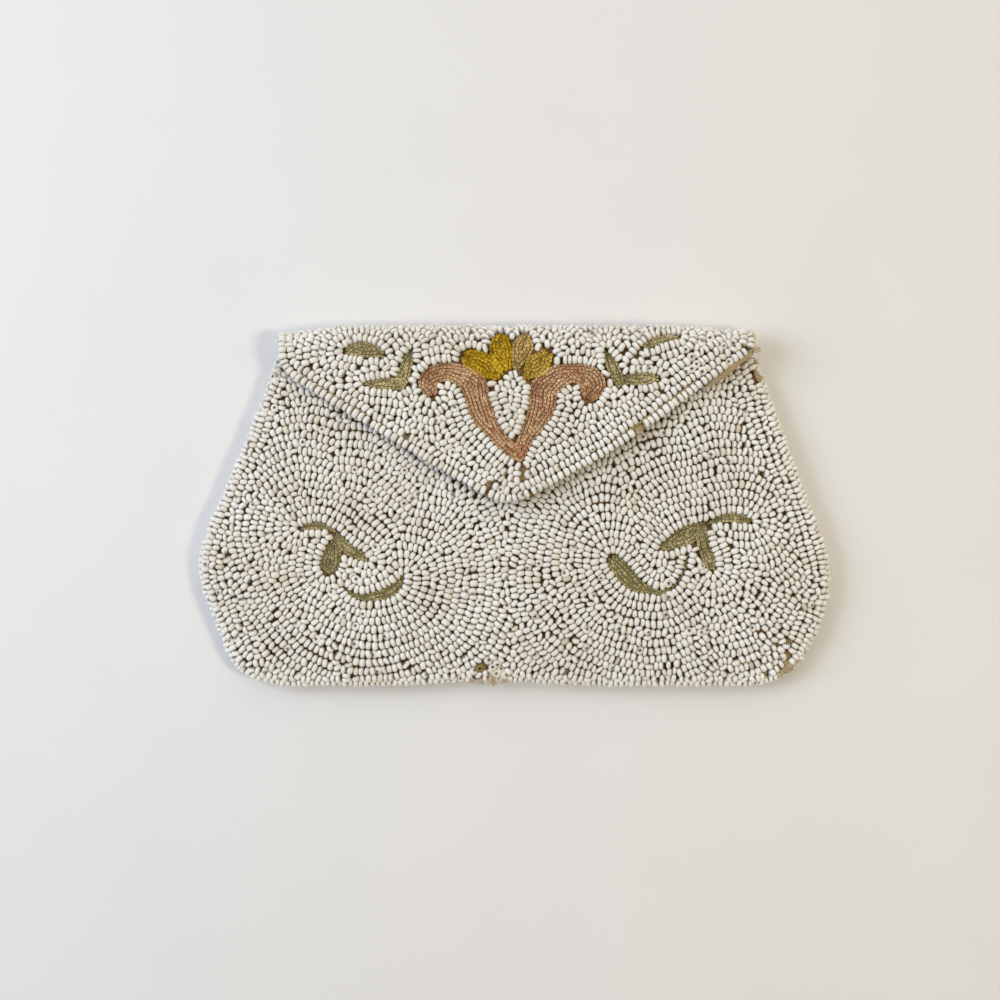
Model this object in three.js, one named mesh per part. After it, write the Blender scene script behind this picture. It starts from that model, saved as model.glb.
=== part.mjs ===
// A beaded envelope purse, lying on its back with its flap closed over the front.
// Millimetres, +Z up, +Y towards the folded top edge. The origin lies on the table, under the
// middle of the purse.
//
// It is sewn from two cloths that are worked all over with seed beads: the front panel, and one
// long cloth that makes the back, folds over the top edge and comes down the front as the flap.
// A press stud under the flap's point shuts it.

import * as THREE from "three";
import { mergeVertices } from "three/addons/utils/BufferGeometryUtils.js";

// Driving dimensions
const HEIGHT = 86.4; // bottom edge to folded top edge
const WALL = 2.4; // cloth and the close layer of beads on it
const SEAM_GAP = 0.3; // clearance between the front and the back where they are sewn together
const POCKET_RISE = 4.6; // how far the empty pocket pushes the front up
const MOUTH_RISE = 4.2; // the same at the front's free upper edge
const PUFF = 24; // width of the slope from a sewn edge up to the full rise
const MOUTH_DROP = 9.8; // from the folded top edge down to the front's free edge
const MOUTH_CORNER = 3.3; // how much higher that edge is at its two ends
const MOUTH_SCOOP = 4; // power of the curve that climbs to those ends
const FLAP_GAP = 0.4; // between the front and the flap near the fold
const STUD_RADIUS = 4; // of the socket half, which is the wider one
const STUD_SHARE = 0.85; // radius of the stud half, as a share of the socket's
const STUD_THICKNESS = 1.2; // both halves together
const STUD_PARTING = 0.45; // where the halves meet, as a share of the thickness
const STUD_GAP = 0.3; // between the stud and the beads on either side of it

// The outline of the front and the back: one row for each height, with the left and right edges there.
const BODY_SECTIONS = [
  { y: -43.2, left: -55.5, right: 57.5 },
  { y: -42.0, left: -61.5, right: 62.8 },
  { y: -39.4, left: -66.6, right: 67.2 },
  { y: -34.6, left: -69.4, right: 70.8 },
  { y: -25.0, left: -73.1, right: 74.7 },
  { y: -16.0, left: -76.0, right: 76.0 },
  { y: -7.7, left: -74.6, right: 74.0 },
  { y: 3.8, left: -69.6, right: 69.6 },
  { y: 21.0, left: -62.4, right: 63.2 },
  { y: 37.3, left: -56.4, right: 57.4 },
];

// The outline of the flap, from the fold down to its rounded point.
const FLAP_SECTIONS = [
  { y: 0.7, left: -3.2, right: -0.4 },
  { y: 1.3, left: -5.0, right: 1.8 },
  { y: 3.1, left: -8.6, right: 5.6 },
  { y: 14.2, left: -27.2, right: 25.3 },
  { y: 30.6, left: -53.8, right: 48.0 },
  { y: 33.4, left: -55.9, right: 51.8 },
  { y: 37.3, left: -56.4, right: 57.4 },
];

// Shallow forms of the soft cloth: the bottom edge lifts between its two lobes, and a valley
// runs up from there.
const NOTCH = { x: -6, depth: 1.3, spread: 14 };
const VALLEY = { x: 0, depth: 0.5, spread: 9, top: 2 };

// Heights along the purse at which the front starts to fall towards its mouth, and the flap to
// rest on the stud.
const MOUTH_SLOPE_START = 15;
const FLAP_LIFT = { full: 15, none: 29 };

// Grid of each cloth. Its lines crowd towards the sewn sides, the bottom and the flap's point,
// where the cloth bends most.
const COLUMNS = 22;
const LAYERS = 3;
const FRONT_ROWS = 18;
const BACK_ROWS = 14;
const FOLD_ROWS = 8;
const FLAP_ROWS = 16;
const SIDE_CROWDING = 0.3;
const BOTTOM_CROWDING = 1.4;
const POINT_CROWDING = 1.3;
const STUD_SIDES = 20;

// Worked out from the sizes above
const BOTTOM_Y = -HEIGHT / 2;
const TOP_Y = HEIGHT / 2;
const MOUTH_Y = TOP_Y - MOUTH_DROP;
const FRONT_BASE = WALL + SEAM_GAP; // underside of the front at its sewn edge
const STUD_LIFT = STUD_THICKNESS + 2 * STUD_GAP;
const STUD_AT = { x: -1.5, y: 9.6 };
const { lerp, clamp, smoothstep } = THREE.MathUtils;

// The left and right edges of an outline at height y, on smooth curves through its rows.
function edgesAt(sections, y) {
  const last = sections.length - 1;
  const at = clamp(y, sections[0].y, sections[last].y);
  let i = 0;
  while (i < last - 1 && at > sections[i + 1].y) i++;
  const [a, b] = [sections[i], sections[i + 1]];
  const span = b.y - a.y;
  const t = (at - a.y) / span;
  const slope = (side, k) => {
    const before = sections[Math.max(k - 1, 0)];
    const after = sections[Math.min(k + 1, last)];
    return (after[side] - before[side]) / (after.y - before.y);
  };
  const through = (side) =>
    a[side] * (2 * t ** 3 - 3 * t ** 2 + 1) +
    slope(side, i) * span * (t ** 3 - 2 * t ** 2 + t) +
    b[side] * (3 * t ** 2 - 2 * t ** 3) +
    slope(side, i + 1) * span * (t ** 3 - t ** 2);
  return { left: through("left"), right: through("right") };
}

const bell = (x, { x: middle, spread }) => Math.exp(-(((x - middle) / spread) ** 2));
const swell = (distance) => Math.sin((Math.PI / 2) * clamp(distance / PUFF, 0, 1));

// How far the front stands above its sewn edge: a pillow that is held down along the sides and the bottom.
function rise(x, y) {
  const { left, right } = edgesAt(BODY_SECTIONS, y);
  const full = lerp(POCKET_RISE, MOUTH_RISE, smoothstep(y, MOUTH_SLOPE_START, MOUTH_Y));
  const valley = VALLEY.depth * bell(x, VALLEY) * (1 - smoothstep(y, BOTTOM_Y, VALLEY.top));
  return (full - valley) * swell(x - left) * swell(right - x) * swell(y - BOTTOM_Y);
}

const frontTop = (x, y) => FRONT_BASE + rise(x, Math.min(y, MOUTH_Y)) + WALL;

// Underside of the flap, which lies on the front and is held up by the stud near its point.
function flapUnderside(x, y) {
  const lift = lerp(STUD_LIFT, FLAP_GAP, smoothstep(y, FLAP_LIFT.full, FLAP_LIFT.none));
  return frontTop(x, y) + lift;
}

// The fold goes round the mouth of the pocket, so its outside radius there follows from what it wraps.
const foldRadius = (x) => (flapUnderside(x, MOUTH_Y) + WALL) / 2;
const FOLD_Y = TOP_Y - foldRadius(0);

// Rounded rim of a cloth: how far it draws back from the outline at each depth in the wall.
const rimInset = (depth) => (WALL / 2) * (1 - Math.sqrt(1 - (2 * depth - 1) ** 2));

// Places of the grid lines: from the left side to the right, and from the bottom up.
function across(u) {
  const s = 2 * u - 1;
  return (1 + s * (1 + SIDE_CROWDING * (1 - s * s))) / 2;
}
const upFromBottom = (v) => v ** BOTTOM_CROWDING;

// A closed wall of cloth: a box of unit size whose vertices are moved to place(u, v, w), where
// each of the three runs from 0 to 1.
function wall(rows, place) {
  const box = new THREE.BoxGeometry(1, 1, 1, COLUMNS, rows, LAYERS);
  box.deleteAttribute("normal");
  box.deleteAttribute("uv");
  const geometry = mergeVertices(box);
  const position = geometry.getAttribute("position");
  const corner = new THREE.Vector3();
  for (let i = 0; i < position.count; i++) {
    corner.fromBufferAttribute(position, i).addScalar(0.5);
    const { x, y, z } = place(corner.x, corner.y, corner.z);
    position.setXYZ(i, x, y, z);
  }
  geometry.computeVertexNormals();
  return geometry;
}

// A point of the body's outline grid: t runs from the bottom edge up to topY.
function bodyPoint(u, t, topY, inset) {
  const level = lerp(BOTTOM_Y + inset, topY, t);
  const { left, right } = edgesAt(BODY_SECTIONS, level);
  const x = lerp(left + inset, right - inset, across(u));
  const y = level + NOTCH.depth * bell(x, NOTCH) * (1 - t) ** 2;
  return { x, y };
}

// Front of the pocket: sewn down along the sides and the bottom, free along its upper edge, which
// is scooped out between two corners that reach up to the fold.
function frontPanelGeometry() {
  return wall(FRONT_ROWS, (u, v, w) => {
    const inset = rimInset(w);
    const scoop = Math.abs(2 * across(u) - 1) ** MOUTH_SCOOP;
    const edgeY = MOUTH_Y + MOUTH_CORNER * scoop - inset;
    const { x, y } = bodyPoint(u, upFromBottom(v), edgeY, inset);
    return { x, y, z: frontTop(x, y) - (1 - w) * WALL };
  });
}

// Back, fold and flap in one cloth. v runs up the back, round the fold and down the flap to its
// point, and w runs from the beaded face to the inner face.
function backAndFlapGeometry() {
  const rows = BACK_ROWS + FOLD_ROWS + FLAP_ROWS;
  const tip = FLAP_SECTIONS[0].y;

  function onBack(u, t, w) {
    const { x, y } = bodyPoint(u, upFromBottom(t), FOLD_Y, rimInset(w));
    return { x, y, z: w * WALL };
  }

  function onFold(u, t, w) {
    const { left, right } = edgesAt(BODY_SECTIONS, FOLD_Y);
    const inset = rimInset(w);
    const x = lerp(left + inset, right - inset, across(u));
    const centre = foldRadius(x);
    const radius = centre - w * WALL;
    const angle = (t - 0.5) * Math.PI;
    return { x, y: FOLD_Y + radius * Math.cos(angle), z: centre + radius * Math.sin(angle) };
  }

  function onFlap(u, t, w) {
    const inset = rimInset(w);
    const y = lerp(FOLD_Y, tip + inset, 1 - (1 - t) ** POINT_CROWDING);
    const { left, right } = edgesAt(FLAP_SECTIONS, y - inset);
    const x = lerp(left + inset, right - inset, across(u));
    return { x, y, z: flapUnderside(x, y) + (1 - w) * WALL };
  }

  return wall(rows, (u, v, w) => {
    const row = v * rows;
    if (row <= BACK_ROWS) return onBack(u, row / BACK_ROWS, w);
    if (row <= BACK_ROWS + FOLD_ROWS) return onFold(u, (row - BACK_ROWS) / FOLD_ROWS, w);
    return onFlap(u, (row - BACK_ROWS - FOLD_ROWS) / FLAP_ROWS, w);
  });
}

// Press stud, shut: the stud half sewn to the front and the wider socket half sewn under the flap.
function pressStudGeometry() {
  const stud = STUD_SHARE * STUD_RADIUS;
  const parting = STUD_PARTING * STUD_THICKNESS;
  const profile = [
    [0, 0],
    [stud, 0],
    [stud, parting],
    [STUD_RADIUS, parting],
    [STUD_RADIUS, STUD_THICKNESS],
    [0, STUD_THICKNESS],
  ].map(([radius, height]) => new THREE.Vector2(radius, height));
  return new THREE.LatheGeometry(profile, STUD_SIDES);
}

const beadedCloth = new THREE.MeshStandardMaterial({
  name: "beaded_cloth",
  color: 0xe4e0d4,
  roughness: 0.45,
  metalness: 0,
});
const studMetal = new THREE.MeshStandardMaterial({
  name: "stud_metal",
  color: 0x8d8a82,
  roughness: 0.35,
  metalness: 1,
});

function piece(name, geometry, material) {
  const mesh = new THREE.Mesh(geometry, material);
  mesh.name = name;
  return mesh;
}

const purse = new THREE.Group();
purse.name = "beaded_purse";
purse.add(piece("back_flap", backAndFlapGeometry(), beadedCloth));
purse.add(piece("front_panel", frontPanelGeometry(), beadedCloth));

const pressStud = piece("press_stud", pressStudGeometry(), studMetal);
pressStud.rotation.x = Math.PI / 2;
pressStud.position.set(STUD_AT.x, STUD_AT.y, frontTop(STUD_AT.x, STUD_AT.y) + STUD_GAP);
purse.add(pressStud);

export default purse;
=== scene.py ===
# A beaded envelope purse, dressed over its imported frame: two ground cloths, chain-stitched flowers and
# leaves, and the seed beads that cover everything else. Blender works in metres; flat layouts are in
# millimetres until MM brings them into the frame.

import math
import random

import bmesh
import bpy
import numpy as np
from mathutils import Matrix, Vector
from mathutils.bvhtree import BVHTree


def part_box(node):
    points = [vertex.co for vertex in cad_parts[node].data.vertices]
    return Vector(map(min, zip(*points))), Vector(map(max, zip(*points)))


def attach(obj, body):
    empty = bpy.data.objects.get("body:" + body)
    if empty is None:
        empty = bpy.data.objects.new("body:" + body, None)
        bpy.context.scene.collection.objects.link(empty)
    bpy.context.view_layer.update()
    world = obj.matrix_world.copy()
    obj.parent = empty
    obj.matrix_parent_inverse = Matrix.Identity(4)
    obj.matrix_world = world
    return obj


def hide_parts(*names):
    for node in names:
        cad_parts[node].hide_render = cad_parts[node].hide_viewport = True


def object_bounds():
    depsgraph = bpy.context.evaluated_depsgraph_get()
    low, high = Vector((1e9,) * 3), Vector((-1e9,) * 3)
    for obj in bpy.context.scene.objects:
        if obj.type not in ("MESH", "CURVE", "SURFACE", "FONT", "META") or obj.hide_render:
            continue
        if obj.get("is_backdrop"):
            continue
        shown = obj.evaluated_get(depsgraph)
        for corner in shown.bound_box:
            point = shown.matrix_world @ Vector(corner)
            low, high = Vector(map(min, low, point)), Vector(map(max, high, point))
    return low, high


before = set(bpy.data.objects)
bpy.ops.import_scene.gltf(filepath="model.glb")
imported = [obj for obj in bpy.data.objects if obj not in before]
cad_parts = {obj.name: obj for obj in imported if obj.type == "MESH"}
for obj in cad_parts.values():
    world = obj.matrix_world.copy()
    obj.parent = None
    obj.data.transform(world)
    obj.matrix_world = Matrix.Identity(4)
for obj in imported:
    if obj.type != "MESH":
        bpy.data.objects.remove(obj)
cad_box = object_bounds()
MM = 0.001


# Ground cloth of the front: one piece of tan plain-woven cotton, cut to the flared shape of the pocket and
# sewn to the back round its sides and bottom. Every bead is sewn down on it, so it shows only in the gaps
# and at worn spots.
WALL = 2.4  # cloth and beads together, as in the frame
CLOTH_THICKNESS = 0.3
BEAD_LAYER = WALL - CLOTH_THICKNESS
RIM_ROUNDING = 2.1  # the frame's rounded rim, which isn't read for heights
FRONT_GRID = (170, 100)
FRONT_ABOVE = 4.0  # the front's upper face lies higher than this
CLOTH_INSET = 0.006  # share of its width by which the thin cloth stays inside its outline

# The cloth rolls over along its sewn edges, so that beads go round them: how far back from the cut edge
# the roll starts, and how much wider the flat cloth is than the outline it makes.
ROLL_RADIUS = 2.6
ROLL_ANGLE = 1.2
ROLL_START = ROLL_RADIUS * ROLL_ANGLE
BEADS_PROUD = 0.6  # how far the rim beads stand out past the frame's outline
TURNED_IN = ROLL_START - ROLL_RADIUS * math.sin(ROLL_ANGLE) + BEADS_PROUD
LET_OUT_REACH = 8.0  # the flat cloth is let out over this width along its sewn edges

# Worn spots, in millimetres: the cloth, x and y, how far each reaches, the shares of its beads that are
# lost and that lean over, and how far the cloth puckers up there.
WORN_SPOTS = [
    ("front", -6.0, -41.2, 4.6, 0.1, 0.7, 0.5),
    ("front", 12.1, -40.1, 1.3, 0.5, 0.3, 1.0),
    ("front", 63.4, -37.2, 4.4, 0.06, 0.05, 0.6),
    ("front", 66.0, -39.3, 1.9, 0.85, 0.0, 1.1),
    ("front", 62.0, -38.6, 1.0, 0.4, 0.1, 0.6),
    ("front", 59.9, -40.4, 1.0, 0.6, 0.1, 0.5),
    ("front", 66.6, -32.6, 0.8, 0.5, 0.1, 0.7),
    ("front", 58.8, 31.0, 1.6, 0.8, 0.1, 1.0),
    ("flap", -25.8, 15.8, 1.1, 1.0, 0.0, 1.0),
    ("flap", 28.7, 18.0, 1.6, 0.9, 0.3, 1.0),
    ("flap", 3.0, 7.6, 1.2, 0.4, 0.4, 0.8),
    ("flap", 0.0, 5.6, 4.4, 0.04, 0.4, 0.4),
    ("flap", -6.6, 5.2, 1.0, 0.15, 0.4, 0.8),
    ("flap", 48.0, 36.5, 9.0, 0.0, 0.2, 0.0),
]
LIGHTEST_PUCKER = 0.9  # cloth raised this far up takes the full lighter colour: partly cleaner cloth rubbed bare, partly painted light on cloth that stands up out of the shade between the beads

# Reading the frame: heights are read in steps of 1 mm from above and carried on past the rounded rim, and
# distances from an edge are read on a finer grid, with the edge run on past its ends.
RAY_START = 0.05  # in metres, above everything
HEIGHT_MARGIN = 6
CARRY_ROUNDS = 14
SMOOTH_AFTER = 9
EDGE_RUN_ON = 8
EDGE_LOOK_BACK = 9
EDGE_MARGIN = 3
EDGE_CELL = 0.5
RIM_POINTS = 100  # along each side of an outline
SIDE_LEVELS = 160  # at which the left and right sides are read
LEVEL_INSET = 0.05
MIDDLE_REACH = 54  # the mouth and the lobes of the bottom are read this far to each side
MOUTH_SHARE = 0.75  # share of the width that the mouth takes up


def frame_edges(node):
    """The end points of a node's edges, in millimetres."""
    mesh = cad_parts[node].data
    points = np.empty(len(mesh.vertices) * 3, np.float32)
    mesh.vertices.foreach_get("co", points)
    pairs = np.empty(len(mesh.edges) * 2, np.int32)
    mesh.edges.foreach_get("vertices", pairs)
    ends = points.reshape(-1, 3)[pairs.reshape(-1, 2)].astype(float) / MM
    return ends[:, 0], ends[:, 1]


def section_limits(node, axis, levels, lowest=-1.0):
    """How far a node reaches along the other plan axis at each level of this one, over a lowest height."""
    start, end = frame_edges(node)
    high_enough = np.minimum(start[:, 2], end[:, 2]) > lowest
    start, end = start[high_enough], end[high_enough]
    least, most = [], []
    for level in levels:
        a, b = start[:, axis] - level, end[:, axis] - level
        crosses = (a * b <= 0) & (a != b)
        share = (a / np.where(crosses, a - b, 1))[crosses]
        other = start[crosses, 1 - axis] + share * (end - start)[crosses, 1 - axis]
        least.append(other.min())
        most.append(other.max())
    return np.array(least), np.array(most)


def distance_to_line(line, x, y):
    """Distance of each point of a grid from a line of points."""
    nearest = np.full(x.shape, 1e6)
    for (ax, ay), (bx, by) in zip(line[:-1], line[1:]):
        run = max((bx - ax) ** 2 + (by - ay) ** 2, 1e-12)
        share = np.clip(((x - ax) * (bx - ax) + (y - ay) * (by - ay)) / run, 0, 1)
        gap = (x - ax - share * (bx - ax)) ** 2 + (y - ay - share * (by - ay)) ** 2
        np.minimum(nearest, gap, out=nearest)
    return np.sqrt(nearest)


def inside_outline(outline, x, y):
    """Whether each point of a grid lies inside a closed outline."""
    inside = np.zeros(x.shape, bool)
    for (ax, ay), (bx, by) in zip(outline[:-1], outline[1:]):
        if ay != by:
            at = ax + (y - ay) * (bx - ax) / (by - ay)
            inside ^= ((ay > y) != (by > y)) & (x < at)
    return inside


def read_grid(values, low, cell, x, y):
    """Values of a grid at any points, by straight interpolation."""
    rows, columns = values.shape
    across = np.clip((np.asarray(x) - low[0]) / cell, 0, columns - 1.001)
    up = np.clip((np.asarray(y) - low[1]) / cell, 0, rows - 1.001)
    i, j = across.astype(int), up.astype(int)
    s, t = across - i, up - j
    near = values[j, i] * (1 - s) + values[j, i + 1] * s
    far = values[j + 1, i] * (1 - s) + values[j + 1, i + 1] * s
    return near * (1 - t) + far * t


def top_reader(node, outline, lowest):
    """A function that gives the height of a node's upper face, carried on past its rounded rim."""
    low, high = outline.min(0) - HEIGHT_MARGIN, outline.max(0) + HEIGHT_MARGIN
    xs, ys = np.arange(low[0], high[0]), np.arange(low[1], high[1])
    x, y = np.meshgrid(xs, ys)
    solid = BVHTree.FromObject(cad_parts[node], bpy.context.evaluated_depsgraph_get())
    known = inside_outline(outline, x, y) & (distance_to_line(outline, x, y) > RIM_ROUNDING)
    height = np.zeros(x.shape)
    for row, column in np.argwhere(known):
        above = Vector((x[row, column] * MM, y[row, column] * MM, RAY_START))
        hit = solid.ray_cast(above, Vector((0, 0, -1)))[0]
        if hit is None or hit.z / MM < lowest:
            known[row, column] = False
        else:
            height[row, column] = hit.z / MM
    for spread in range(CARRY_ROUNDS):
        total, count = np.zeros(x.shape), np.zeros(x.shape)
        for step in ((0, 1), (0, -1), (1, 0), (-1, 0)):
            total += np.roll(height * known, step, (0, 1))
            count += np.roll(known, step, (0, 1))
        fresh = ~known & (count > 0)
        height[fresh] = (total / np.maximum(count, 1))[fresh]
        known |= fresh
        if spread > SMOOTH_AFTER:
            height = np.where(count > 3, (height + total / np.maximum(count, 1)) / 2, height)
    return lambda px, py: read_grid(height, low, 1.0, px, py)


front_low, front_high = (np.array(corner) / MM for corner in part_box("front_panel"))
side_levels = np.linspace(front_low[1] + LEVEL_INSET, front_high[1] - LEVEL_INSET, SIDE_LEVELS)
body_left, body_right = section_limits("front_panel", 1, side_levels)
cross_levels = np.linspace(-MIDDLE_REACH, MIDDLE_REACH, 2 * MIDDLE_REACH + 1)
body_bottom, body_mouth = section_limits("front_panel", 0, cross_levels)


def plan_place(u, t):
    """Place on the plan of the front: u runs across it, t from its bottom edge up to its scooped mouth."""
    across = front_low[0] * MOUTH_SHARE * (1 - u) + front_high[0] * MOUTH_SHARE * u
    level = front_low[1] + (np.interp(across, cross_levels, body_mouth) - front_low[1]) * t
    left, right = (np.interp(level, side_levels, limit) for limit in (body_left, body_right))
    x = left + (right - left) * u
    lobes = np.interp(x, cross_levels, body_bottom - front_low[1], left=0, right=0)
    return x, level + lobes * (1 - t) ** 2


def rim_of(place):
    """The closed outline of a cloth from its place function."""
    run = (1 - np.cos(np.linspace(0, math.pi, RIM_POINTS))) / 2
    sides = [(0 * run, run), (run, 0 * run + 1), (0 * run + 1, run[::-1]), (run[::-1], 0 * run)]
    return np.concatenate([np.stack(place(u, t), 1) for u, t in sides])


def edge_reader(sewn):
    """A function for the distance inside a sewn edge and the direction away from it."""
    ends = []
    for end, near in ((sewn[0], sewn[EDGE_LOOK_BACK]), (sewn[-1], sewn[-1 - EDGE_LOOK_BACK])):
        away = end - near
        ends.append(end + EDGE_RUN_ON * away / np.hypot(*away))
    line = np.concatenate([ends[:1], sewn, ends[1:]])
    low = line.min(0) - EDGE_MARGIN
    across, up = (np.arange(a, b + EDGE_MARGIN, EDGE_CELL) for a, b in zip(low, line.max(0)))
    x, y = np.meshgrid(across, up)
    distance = distance_to_line(line, x, y)
    distance = np.where(inside_outline(np.concatenate([line, line[:1]]), x, y), distance, -distance)
    slopes = np.gradient(distance, EDGE_CELL)
    grids = distance, slopes[1], slopes[0]
    return lambda px, py: [read_grid(grid, low, EDGE_CELL, px, py) for grid in grids]


def roll_over(reader, x, y, depth, share=1.0):
    """Moves flat points to where the rolled edge brings them: plan place and depth below the bead tops."""
    edge, inward_x, inward_y = reader(x, y)
    past = np.clip(ROLL_START - edge, 0, ROLL_START + 1) * share
    angle = past / ROLL_RADIUS
    back = past - (ROLL_RADIUS - depth) * np.sin(angle)
    return x + inward_x * back, y + inward_y * back, ROLL_RADIUS - (ROLL_RADIUS - depth) * np.cos(angle)


def sewn_line(outline):
    """The part of the front's outline that is sewn to the back."""
    left, _, right, bottom = np.split(outline, 4)
    return np.concatenate([right, bottom, left])


plan_edge = edge_reader(sewn_line(rim_of(plan_place)))


def let_out(x, y):
    """How far flat places move out from the plan, so that the rolled cloth comes back to its outline."""
    edge, inward_x, inward_y = plan_edge(x, y)
    out = TURNED_IN * np.clip(1 - edge / LET_OUT_REACH, 0, 1)
    return -inward_x * out, -inward_y * out


def front_place(u, t):
    """Flat place on the front."""
    x, y = plan_place(u, t)
    over, up = let_out(x, y)
    return x + over, y + up


front_outline = rim_of(front_place)
left_rim, _, right_rim, _ = np.split(front_outline, 4)
front_edge = edge_reader(sewn_line(front_outline))
front_top = top_reader("front_panel", front_outline, FRONT_ABOVE)


def front_surface(x, y, depth):
    """Points of the front at a depth below the tops of its beads."""
    x, y, depth = roll_over(front_edge, x, y, depth)
    return np.stack([x, y, front_top(x, y) - depth], -1)


def cloth_depth(cloth, x, y):
    """Depth of a cloth's beaded face below the tops of the beads, which is less where it puckers."""
    depth = np.full(np.shape(x), BEAD_LAYER)
    for on, spot_x, spot_y, reach, _, _, pucker in WORN_SPOTS:
        if on == cloth:
            depth -= pucker * np.exp(-((x - spot_x) ** 2 + (y - spot_y) ** 2) / reach ** 2)
    return depth


def mesh_of(name, shape):
    """A smooth mesh from a finished bmesh shape."""
    mesh = bpy.data.meshes.new(name)
    shape.to_mesh(mesh)
    shape.free()
    mesh.shade_smooth()
    return mesh


def add_object(name, mesh, material):
    """An object in the scene for a mesh, with its material."""
    mesh.materials.append(material)
    piece = bpy.data.objects.new(name, mesh)
    bpy.context.scene.collection.objects.link(piece)
    return piece


def cloth_wall(name, cloth, segments, place, surface):
    """A thin cloth that lies a bead's height below the surface, lighter where it puckers up: partly rubbed
    bare, partly painted light.
    """
    shape = bmesh.new()
    bmesh.ops.create_grid(shape, x_segments=segments[0], y_segments=segments[1], size=0.5)
    lower = bmesh.ops.extrude_face_region(shape, geom=shape.faces[:], use_keep_orig=True)["geom"]
    lower = {part for part in lower if isinstance(part, bmesh.types.BMVert)}
    flat = np.array([v.co for v in shape.verts]) + 0.5
    flat = CLOTH_INSET + (1 - 2 * CLOTH_INSET) * flat
    x, y = place(flat[:, 0], flat[:, 1])
    depth = cloth_depth(cloth, x, y)
    below = np.array([CLOTH_THICKNESS if vertex in lower else 0 for vertex in shape.verts])
    # The cloth's lighter share grows as it puckers up towards the bead tops: partly rubbed-bare cloth,
    # partly painted light.
    bare_and_lit = shape.verts.layers.float.new("bare_and_lit")
    for vertex, spot, up in zip(shape.verts, surface(x, y, depth + below) * MM, BEAD_LAYER - depth):
        vertex.co = spot
        vertex[bare_and_lit] = min(up / LIGHTEST_PUCKER, 1)
    bmesh.ops.recalc_face_normals(shape, faces=shape.faces)
    return add_object(name, mesh_of(name, shape), GROUND_CLOTH)


def effect_group(name, inputs, outputs):
    """A new shader node group with its own input and output sockets."""
    group = bpy.data.node_groups.new(name, "ShaderNodeTree")
    for label, kind, value in inputs:
        socket = group.interface.new_socket(label, in_out="INPUT", socket_type="NodeSocket" + kind)
        socket.default_value = value
    for label, kind in outputs:
        group.interface.new_socket(label, in_out="OUTPUT", socket_type="NodeSocket" + kind)
    return group, group.nodes.new("NodeGroupInput"), group.nodes.new("NodeGroupOutput")


def add_node(tree, kind, links=(), **settings):
    """A node with its settings, and its inputs linked from other nodes' outputs or set to values."""
    node = tree.nodes.new("ShaderNode" + kind)
    for key, value in settings.items():
        setattr(node, key, value)
    for socket, source in dict(links).items():
        if isinstance(source, bpy.types.NodeSocket):
            tree.links.new(source, node.inputs[socket])
        else:
            node.inputs[socket].default_value = source
    return node


def mix_colours(tree, share, first, second, blend="MIX"):
    """The output of a mix of two colours."""
    inputs = {"Factor": share, "A": first, "B": second}
    return add_node(tree, "Mix", inputs, data_type="RGBA", blend_type=blend).outputs["Result"]


def ageing_group():
    """Uneven yellowing and grime of old cloth and thread: a colour that drifts over the surface."""
    group, given, out = effect_group(
        "ageing",
        [("Colour", "Color", (1, 1, 1, 1)), ("Grime", "Color", (0.3, 0.2, 0.1, 1)),
         ("Patch size", "Float", 90.0), ("Amount", "Float", 0.3)],
        [("Colour", "Color"), ("Mask", "Float")],
    )
    place = add_node(group, "TexCoord")
    patches = add_node(group, "TexNoise", {"Vector": place.outputs["Object"],
                                           "Scale": given.outputs["Patch size"], "Detail": 4.0})
    spread = add_node(group, "MapRange", {"Value": patches.outputs["Fac"],
                                          "From Min": 0.35, "From Max": 0.75})
    share = add_node(group, "Math", {0: spread.outputs["Result"], 1: given.outputs["Amount"]},
                     operation="MULTIPLY")
    tint = mix_colours(group, share.outputs[0], given.outputs["Colour"], given.outputs["Grime"])
    group.links.new(tint, out.inputs["Colour"])
    group.links.new(share.outputs[0], out.inputs["Mask"])
    return group


def weave_group():
    """Plain weave: two sets of threads that go over and under each other, as a height and a painted shade,
    darker where the threads dip.
    """
    group, given, out = effect_group("plain_weave", [("Threads per metre", "Float", 2600.0)],
                                     [("Height", "Float"), ("Shade", "Float")])
    place = add_node(group, "TexCoord")
    wobble = add_node(group, "TexNoise", {"Vector": place.outputs["Object"], "Scale": 700.0})
    drift = add_node(group, "MixRGB", {"Fac": 0.0004, "Color1": place.outputs["Object"],
                                       "Color2": wobble.outputs["Color"]}, blend_type="ADD")
    angle = add_node(group, "VectorMath", {0: drift.outputs[0]}, operation="SCALE")
    group.links.new(given.outputs["Threads per metre"], angle.inputs["Scale"])
    apart = add_node(group, "SeparateXYZ", {0: angle.outputs[0]})
    waves = []
    for axis in ("X", "Y"):
        turn = add_node(group, "Math", {0: apart.outputs[axis], 1: math.tau / 2}, operation="MULTIPLY")
        waves.append(add_node(group, "Math", {0: turn.outputs[0]}, operation="SINE"))
    over = add_node(group, "Math", {0: waves[0].outputs[0], 1: waves[1].outputs[0]},
                    operation="MULTIPLY")
    height = add_node(group, "Math", {0: over.outputs[0]}, operation="ABSOLUTE")
    # Painted shade: the low parts of the weave are darkened to half.
    shade = add_node(group, "MapRange", {"Value": height.outputs[0], "To Min": 0.5, "To Max": 1.0})
    group.links.new(height.outputs[0], out.inputs["Height"])
    group.links.new(shade.outputs["Result"], out.inputs["Shade"])
    return group


AGEING = ageing_group()
WEAVE = weave_group()


def new_material(name):
    """A material with its node tree and its Principled shader."""
    material = bpy.data.materials.new(name)
    material.use_nodes = True
    return material, material.node_tree, material.node_tree.nodes["Principled BSDF"]


def place_group(tree, group, **values):
    """A node group in a material, with its own values."""
    node = tree.nodes.new("ShaderNodeGroup")
    node.node_tree = group
    for label, value in values.items():
        node.inputs[label.replace("_", " ")].default_value = value
    return node


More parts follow.
